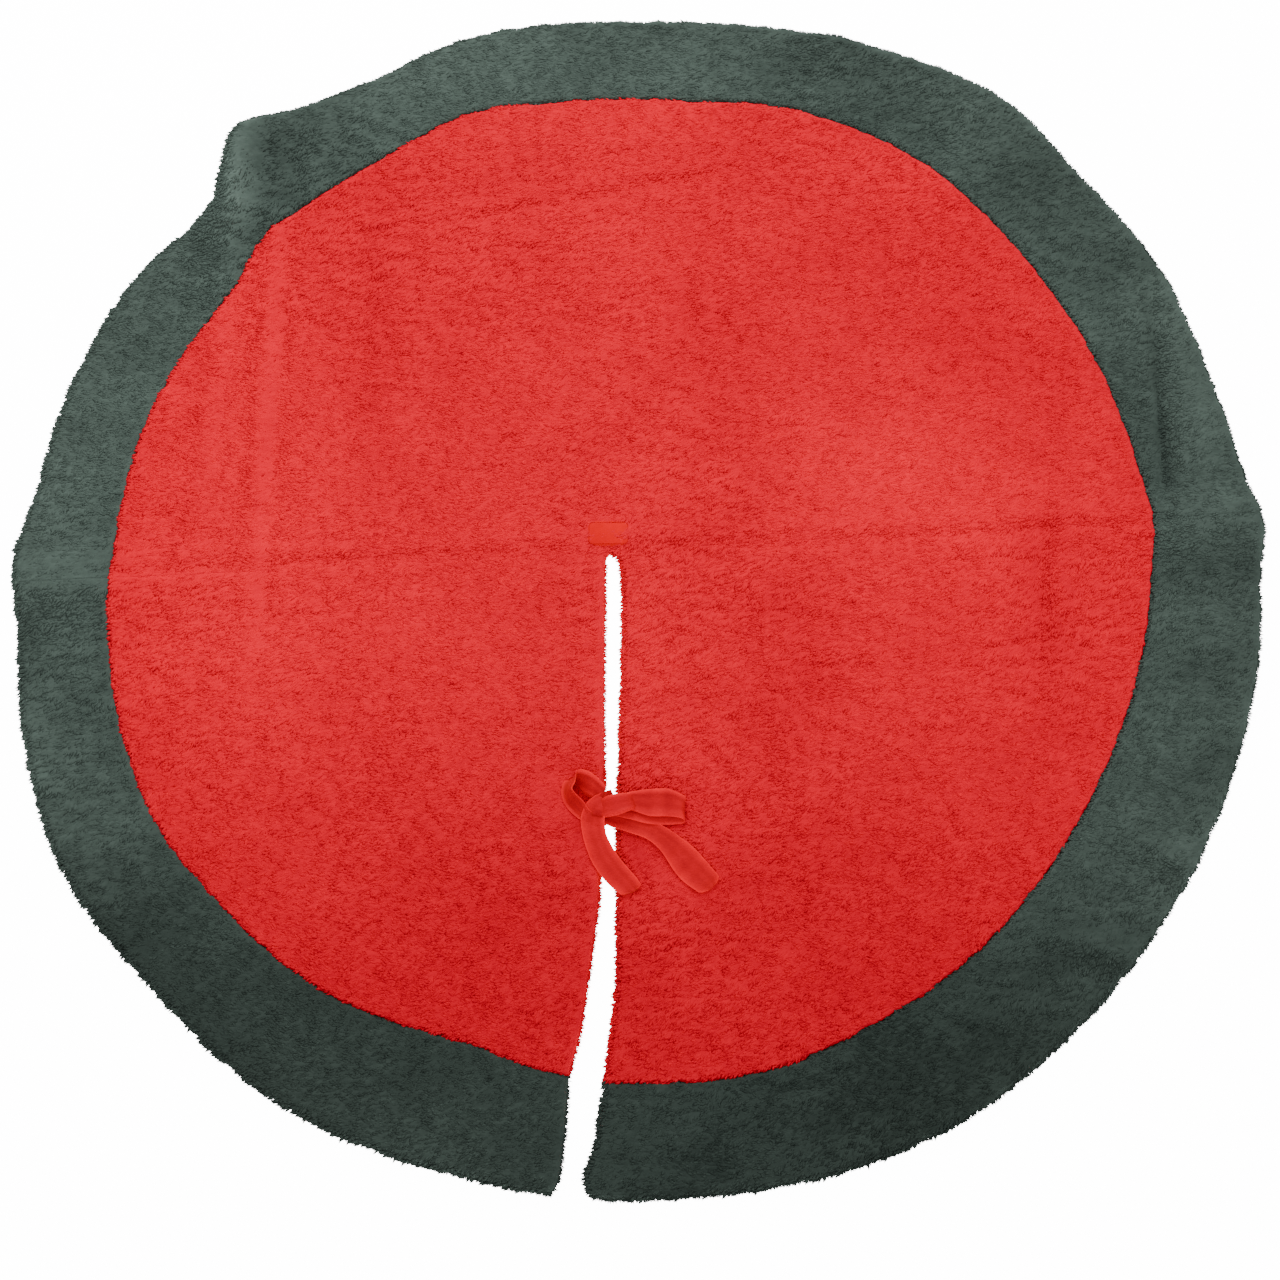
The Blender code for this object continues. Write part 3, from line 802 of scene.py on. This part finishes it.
def make_red(part, dice):
    x, y, seam, slit = red_plan(part)
    z = pile_at(x, y, ((seam, SEAM_ROUND), (slit, SLIT_ROUND)))
    bend = 0 if part == BACK else BEND_LINES
    cloth = slab(f"plush_centre_{part}", x, y, z, foot_at(x, y), fine_rows=bend)
    wear(with_tone_and_painted_light(cloth, red_tone), RED_BASE)
    edges = []
    if part != BACK:
        way = -SIDES[part]
        edges = [(x[::way, 0], y[::way, 0])]
    pieces = grown_pile(f"centre_{part}", (x, y, z), edges, dice, red_tone, RED_STEPS, RED_SHADES)
    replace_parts(cloth, f"centre_plush_{part}")
    for piece in (cloth, *pieces):
        move_with(piece, part)


def make_green(part, dice):
    x, y, hem, seam, slit = green_plan(part)
    z = pile_at(x, y, ((hem, HEM_ROUND), (seam, SEAM_ROUND), (slit, SLIT_ROUND)))
    bend = 0 if part == BACK else BEND_LINES
    cloth = slab(f"plush_border_{part}", x, y, z, foot_at(x, y), fine_columns=bend)
    wear(with_tone_and_painted_light(cloth, green_tone), GREEN_BASE)
    way = 1 if part == RIGHT else -1
    edges = [(x[0, ::way], y[0, ::way])]
    if part != BACK:
        edges.append((x[::way, -1], y[::way, -1]))
    pieces = grown_pile(f"border_{part}", (x, y, z), edges, dice, green_tone, GREEN_STEPS, GREEN_SHADES)
    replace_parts(cloth, f"border_plush_{part}")
    for piece in (cloth, *pieces):
        move_with(piece, part)


def make_lining(part):
    """Thin woven backing under the plush, a little smaller all round."""
    x, y, _, slit = lining_plan(part)
    x = x + SIDES.get(part, 0) * LINING_INSET * np.clip(1 - slit / LINING_EASE, 0, 1)
    ground = ground_at(x, y)
    lining = slab(f"lining_{part}_cloth", x, y, ground + LINING_HIGH, ground + LINING_LOW, coarse=1)
    wear(lining, LINING)
    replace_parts(lining, f"lining_{part}")
    move_with(lining, part)


dice = np.random.RandomState(11)
for part in (BACK, LEFT, RIGHT):
    make_red(part, dice)
    make_green(part, dice)
    make_lining(part)


# ---- threads ----
THREAD_Z, THREAD_HALF = 1.5, 0.4
HEM_THREAD_INSET = 12.0
THREADS = {"hem": GREEN_THREAD, "patch": PATCH_THREAD}  # the others are red


def sewn_line(name, part, x, y, mat):
    """Thread between lining and plush along a line of points, lifted with them."""
    line = np.stack([x, y, ground_at(x, y) + THREAD_Z], 1)
    along = np.gradient(line, axis=0)
    along /= np.linalg.norm(along, axis=1)[:, None]
    side = np.cross(along, (0, 0, 1.0))
    side /= np.linalg.norm(side, axis=1)[:, None]
    turns = np.linspace(0, 2 * math.pi, 9)[:-1]
    rings = [line + THREAD_HALF * (math.cos(t) * side + math.sin(t) * np.cross(side, along)) for t in turns]
    thread = wear(tube(f"{name}_{part}_line", np.stack(rings, 1)), mat)
    move_with(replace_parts(thread, f"{name}_{part}"), part)


for part in (BACK, LEFT, RIGHT):
    x, y, hem, _, _ = green_plan(part)
    hem_row = np.abs(hem[:, 1] - HEM_THREAD_INSET).argmin()
    kept = slice(1, -1 if part == BACK else -8)  # short of the crease and of the slit
    sewn_line("hem_thread", part, x[hem_row, kept], y[hem_row, kept], GREEN_THREAD)
    sewn_line("seam_thread", part, x[-1, kept], y[-1, kept], RED_THREAD)

# The rest of the threads are the frame's own.
for name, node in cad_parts.items():
    if "thread" in name or "tack" in name:
        node.data.materials.clear()
        node.data.materials.append(THREADS.get(name.split("_")[0], RED_THREAD))


# ---- ribbons ----
RIBBON_STEP = 1.0
RIBBON_COLUMNS = 25
RIM_AT, RIM_WIDTH = 0.72, 0.16          # the raised line inside each edge, as shares of the half width
VELVET_MIDDLE, VELVET_EDGE_PAINTED_SHEEN = 0.90, 0.80  # painted sheen: the ribbon is lighter at its edges, where its pile turns over
VELVET_TURN = 0.4                       # from this share of the half width outwards
RIPPLE_TONE = 0.10                      # how much the lightness varies along the ribbon

# Stations of the ribbons: ((centre), (half-width vector)), about the place where the crease crosses x = 0.
LOOP_LEFT = (
    ((-7, -238, 15), (3, 8, 3)), ((-17, -230, 16), (3, 9.5, 4.6)), ((-26, -224.5, 17), (2.5, 9, 7)),
    ((-33, -221, 18), (1.5, 4.5, 9.4)), ((-38.5, -225, 18.4), (5, -2, 9.3)),
    ((-41.5, -233, 18.4), (5.5, 0, 9)), ((-38.5, -241, 17.5), (6, 3, 8)),
    ((-31.5, -248.5, 15), (6, 4.5, 5)), ((-25, -255, 12.8), (4, 5, 2.4)), ((-19, -260, 11.6), (3, 5, 1)),
)
LOOP_RIGHT = (
    ((4, -250, 12.8), (0, 7, 0)), ((18, -250.5, 12.2), (0, 9.5, 0)), ((34, -252, 11.6), (0, 12, 0)),
    ((52, -253, 11.8), (1, 12, 0)), ((64, -252.5, 12), (1, 12, 0)), ((69, -251, 13.8), (0.5, 12, 0)),
    ((64, -247.5, 16.6), (-1, 12, 0.6)), ((52, -245, 17.6), (-0.5, 13, 1)),
    ((36, -245, 17.6), (0, 12.6, 1)), ((20, -243.5, 17.4), (0, 9, 1)), ((13, -244, 16.5), (0, 8, 1)),
)
TAIL_LEFT = (
    ((-16.8, -257, 14.6), (11, -0.4, 1)), ((-17, -263, 13.4), (11.2, 0, 0.6)),
    ((-16.2, -270, 12.6), (10.8, 1.2, 0.3)), ((-14.6, -277, 12.4), (10.7, 2, 0)),
    ((-10.8, -286.5, 12.4), (11, 3, 0)), ((-6, -296, 12.4), (11.4, 4, 0)),
    ((3.2, -308.5, 12.6), (11, 5.4, 0)), ((13.4, -319.5, 13.2), (10, 5.8, 0.3)),
    ((20.5, -327, 13.8), (8.8, 4.4, 0.5)),
)
TAIL_RIGHT = (
    ((-6, -257, 13), (1, 7, 0)), ((5, -260, 13), (2, 8, 0)), ((20, -264, 12.6), (3, 8.4, 0)),
    ((36, -269.5, 12.4), (2.5, 9, 0)), ((49.5, -278.5, 12.4), (5, 9, 0)),
    ((59, -287.5, 12.4), (7.4, 9.7, 0)), ((67.5, -297, 12.4), (9.2, 11, 0)),
    ((77, -307.5, 12.4), (10, 10.3, 0)), ((87, -317, 12.4), (9.6, 8.4, 0)), ((94, -323, 12.4), (9, 7.6, 0)),
)
KNOT_WRAP = (
    ((3, -237.5, 16), (3, -5, -1)), ((-4, -241, 17.6), (4.5, -5.5, 0)), ((-9.5, -245, 18), (6.5, -6, 0.8)),
    ((-13.8, -250, 16.8), (9, -5, 1)), ((-16.4, -255.5, 15), (10.8, -1.4, 1)),
    ((-17, -261, 13.4), (11.2, -0.2, 0.7)), ((-16.8, -267, 11.6), (11, 0.8, 0.4)),
)
KNOT_BAND = (
    ((-10, -249.5, 12), (1, -9, 0)), ((-3.5, -248.6, 16), (1.5, -9.8, 0)),
    ((5, -247.2, 19.2), (2.4, -9.8, 0)), ((14, -244.6, 18.8), (3, -8.6, 0)),
    ((19, -243.5, 15.8), (2.4, -8, 0)), ((20.4, -243, 11.5), (2, -7.6, 0)),
)
# Loops and tails: name, stations, body, width of the ribbon, its shape, and the place and direction in which
# it leaves the knot.
BOW = (
    ("ribbon_loop_left", LOOP_LEFT, "loop_left", 24, {"crown": 1.0, "rim": 0.8},
     (-6, -241, 17.5), (-0.6564, 0.7544)),
    ("ribbon_loop_right", LOOP_RIGHT, "loop_right", 25, {"crown": -0.8, "rim": 0.6},
     (21.5, -247, 17.5), (1, 0)),
    ("ribbon_tail_left", TAIL_LEFT, "tail_left", 22, {"crown": 3.2, "rim": 0.5, "end_round": 3},
     (-17.5, -264.5, 11.5), (0, -1)),
    ("ribbon_tail_right", TAIL_RIGHT, "tail_right", 24, {"crown": 3.2, "rim": 0.5, "end_round": 10},
     (13.5, -268.2, 11.5), (0.894, -0.447)),
)
# A tie from its place between plush and lining up to the knot: (distance from the middle, height).
LEAD_PROFILE = ((30, 1.9), (26, 1.9), (12, 1.9), (6, 2.1), (4.4, 4.0), (3.6, 6.5), (3.0, 9.5))
LEAD_MIDDLE, LEAD_HALF_WIDTH = (0.8, -250), 9


def through(stations, count):
    """Dense smooth path through stations, each a row of numbers."""
    rows = np.asarray(stations, float)
    rows = np.concatenate([[2 * rows[0] - rows[1]], rows, [2 * rows[-1] - rows[-2]]])
    result = []
    spans = len(rows) - 3
    for place in np.linspace(0, spans, count):
        i = min(int(place), spans - 1)
        t = place - i
        a, b, c, d = rows[i:i + 4]
        result.append(0.5 * (2 * b + (c - a) * t + (2 * a - 5 * b + 4 * c - d) * t * t
                             + (3 * b - a - 3 * c + d) * t ** 3))
    return np.array(result)


def ribbon(name, stations, crown=0.0, thick=1.2, ripple=0.5, end_round=0.0, rim=0.0):
    """Closed strip of ribbon through (centre, half-width vector) stations, and its length."""
    flat = [(*centre, *half) for centre, half in stations]
    rough = through(flat, 200)
    length = np.linalg.norm(np.diff(rough[:, :3], axis=0), axis=1).sum()
    rows = through(flat, max(8, round(length / RIBBON_STEP)))
    centre, half = rows[:, :3] + (0, HINGE_Y, 0), rows[:, 3:]
    along = np.gradient(centre, axis=0)
    along /= np.linalg.norm(along, axis=1)[:, None]
    normal = np.cross(half, along)
    normal /= np.linalg.norm(normal, axis=1)[:, None]
    run = np.linspace(0, length, len(centre))
    width = np.ones(len(centre))
    if end_round:
        width *= np.sqrt(np.clip(1 - np.clip(1 - (length - run) / end_round, 0, 1) ** 2, 0.02, 1))
    across = np.sin(np.linspace(-1, 1, RIBBON_COLUMNS) * math.pi / 2)
    skin, tone = [], []
    for face in (1, -1):
        for v in across if face > 0 else across[-2:0:-1]:
            turned = max(0.0, (abs(v) - VELVET_TURN) / (1 - VELVET_TURN)) ** 2
            # lighter towards the edges: painted sheen
            tone.append(VELVET_MIDDLE + VELVET_EDGE_PAINTED_SHEEN * turned + 0.05 * math.sin(9 * v))
            wander = ripple * RIBBON_NOISE(run + 40, v * 8 + 31.0 * len(name))
            bowed = crown * (1 - abs(v) ** 3) + rim * math.exp(-((abs(v) - RIM_AT) / RIM_WIDTH) ** 2)
            offset = bowed + wander + face * thick / 2 * math.sqrt(max(0.0, 1 - v ** 8))
            skin.append(centre + half * (width * v)[:, None] + normal * np.asarray(offset)[:, None])
    obj = tube(name, np.stack(skin, 1))
    ripples = 1 + RIPPLE_TONE * RIBBON_NOISE(run * 1.3 + 11, 5.0)[:, None] * np.ones(len(skin))
    return wear(set_tone(obj, ripples * tone), RIBBON), length


def bow_piece(name, stations, node, flat_width, **shape):
    piece, length = ribbon(name, stations, **shape)
    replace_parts(piece, node)
    return piece


for name, stations, body, flat_width, shape, (x, y, z), (to_x, to_y) in BOW:
    piece = bow_piece(name, stations, f"bow_{body}", flat_width, **shape)
    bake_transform(piece)
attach(bow_piece("knot_band", KNOT_BAND, "bow_knot", 21, crown=1.6, rim=0.9), "front_left")
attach(bow_piece("knot_wrap", KNOT_WRAP, "bow_knot", 21, crown=2.2, rim=0.6), "front_left")

KNOT_MIDDLE, KNOT_HALF = (-1, -249, 13.2), (17, 9, 3.2)
KNOT_SKEW = 0.2                         # it lies a little across
KNOT_TONE = 0.75                        # and in the shade of its bands


def make_knot_core():
    """The tightened middle of the knot, under its two bands."""
    around = np.linspace(0, 2 * math.pi, 49)[:-1]
    level = np.linspace(-1, 1, 15) * math.pi / 2 * 0.98
    a, b = np.meshgrid(around, level)
    crease = 1 + 0.06 * np.cos(5 * a + 0.7) * np.cos(b) + 0.04 * np.cos(9 * a)
    x = KNOT_MIDDLE[0] + KNOT_HALF[0] * np.cos(a) * np.cos(b) * crease
    y = KNOT_MIDDLE[1] + KNOT_HALF[1] * np.sin(a) * np.cos(b) * crease + KNOT_SKEW * (x + 2)
    z = KNOT_MIDDLE[2] + KNOT_HALF[2] * np.sin(b)
    core = tube("knot_core", np.stack([x, y + HINGE_Y, z], 2), smooth_ends=True)
    wear(set_tone(core, np.full(len(core.data.vertices), KNOT_TONE)), RIBBON)
    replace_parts(core, "bow_knot")
    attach(core, "front_left")


make_knot_core()

for side, part in ((-1, LEFT), (1, RIGHT)):
    stations = [((LEAD_MIDDLE[0] + side * out, LEAD_MIDDLE[1], z), (0, LEAD_HALF_WIDTH, 0))
                for out, z in LEAD_PROFILE]
    lead, length = ribbon(f"tie_{part}", stations, thick=0.9, ripple=0.1)
    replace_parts(lead, f"tie_lead_{part[6:]}")
    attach(lead, BODIES[part])


# ---- patch over the slit's end ----
PATCH_MIDDLE, PATCH_HALF = (-4, 11), (21.5, 13.5)
PATCH_CORNER = 3.2                      # how square its corners are
PATCH_DOME, PATCH_ROUND = 1.8, 8.0      # how high it stands, and over what distance from its edge


def make_patch():
    u, v = np.meshgrid(np.linspace(-1, 1, 61), np.linspace(-1, 1, 41))
    x = PATCH_MIDDLE[0] + PATCH_HALF[0] * u * np.sqrt(1 - 0.5 * np.abs(v) ** (2 * PATCH_CORNER))
    y = PATCH_MIDDLE[1] + PATCH_HALF[1] * v * np.sqrt(1 - 0.5 * np.abs(u) ** (2 * PATCH_CORNER))
    inside = np.minimum(PATCH_HALF[0] * (1 - np.abs(u)), PATCH_HALF[1] * (1 - np.abs(v)))
    ground = foot_at(x, y) - PLUSH_FOOT + PLUSH_TOP
    z = ground - 0.3 + PATCH_DOME * edge_profile(inside, PATCH_ROUND) + 0.25 * RIBBON_NOISE(x, y)
    patch = wear(slab("slit_patch_cloth", x, y, z, ground - 1.2, coarse=2), PATCH)
    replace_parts(patch, "slit_end_patch")
    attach(patch, "back_half")


make_patch()


# ---- floor and light ----
GLOW = {"floor": (3.4, 14.0), "world": (0.7, 14.0)}  # light given, and brightness as it is seen itself
FLOOR_PALE, FLOOR_SIZE, FLOOR_Z = (0.92, 0.92, 0.92), 14, -0.0005  # metres
LAMPS = (("key", 52, 1.5, (-0.5, 1.7, 1.6)), ("fill", 24, 2.0, (0.3, -1.5, 2.2)))


def seen_brighter(tree, strength, given, seen):
    """Gives a strength socket one value for the light that it sends out and another for how it looks."""
    ray = tree.nodes.new("ShaderNodeLightPath")
    level = tree.nodes.new("ShaderNodeMapRange")
    level.inputs["To Min"].default_value = given
    level.inputs["To Max"].default_value = seen
    tree.links.new(ray.outputs["Is Camera Ray"], level.inputs["Value"])
    tree.links.new(level.outputs["Result"], strength)


def floor_material():
    """Pale and evenly lit from above; nothing from below, so that the underside can be looked at."""
    pale = material("floor", FLOOR_PALE, 0.95)
    nodes, links = pale.node_tree.nodes, pale.node_tree.links
    shader = nodes["Principled BSDF"]
    shader.inputs["Emission Color"].default_value = (1, 1, 1, 1)
    seen_brighter(pale.node_tree, shader.inputs["Emission Strength"], *GLOW["floor"])
    below = nodes.new("ShaderNodeNewGeometry")
    clear = nodes.new("ShaderNodeBsdfTransparent")
    either = nodes.new("ShaderNodeMixShader")
    links.new(below.outputs["Backfacing"], either.inputs["Fac"])
    links.new(shader.outputs["BSDF"], either.inputs[1])
    links.new(clear.outputs["BSDF"], either.inputs[2])
    links.new(either.outputs["Shader"], nodes["Material Output"].inputs["Surface"])
    return pale


def make_world():
    world = bpy.data.worlds.new("world")
    world.use_nodes = True
    glow = world.node_tree.nodes["Background"]
    glow.inputs["Color"].default_value = (1, 1, 1, 1)
    seen_brighter(world.node_tree, glow.inputs["Strength"], *GLOW["world"])
    bpy.context.scene.world = world


def make_stage():
    bpy.ops.mesh.primitive_plane_add(size=FLOOR_SIZE, location=(0, 0, FLOOR_Z))
    floor = bpy.context.object
    floor.name = "floor"
    floor.data.materials.append(floor_material())
    make_world()
    for name, energy, size, spot in LAMPS:
        lamp = bpy.data.lights.new(name, "AREA")
        lamp.energy = energy
        lamp.size = size
        light = bpy.data.objects.new(name, lamp)
        light.location = spot
        light.rotation_euler = (-Vector(spot)).to_track_quat("-Z", "Y").to_euler()
        bpy.context.scene.collection.objects.link(light)


make_stage()
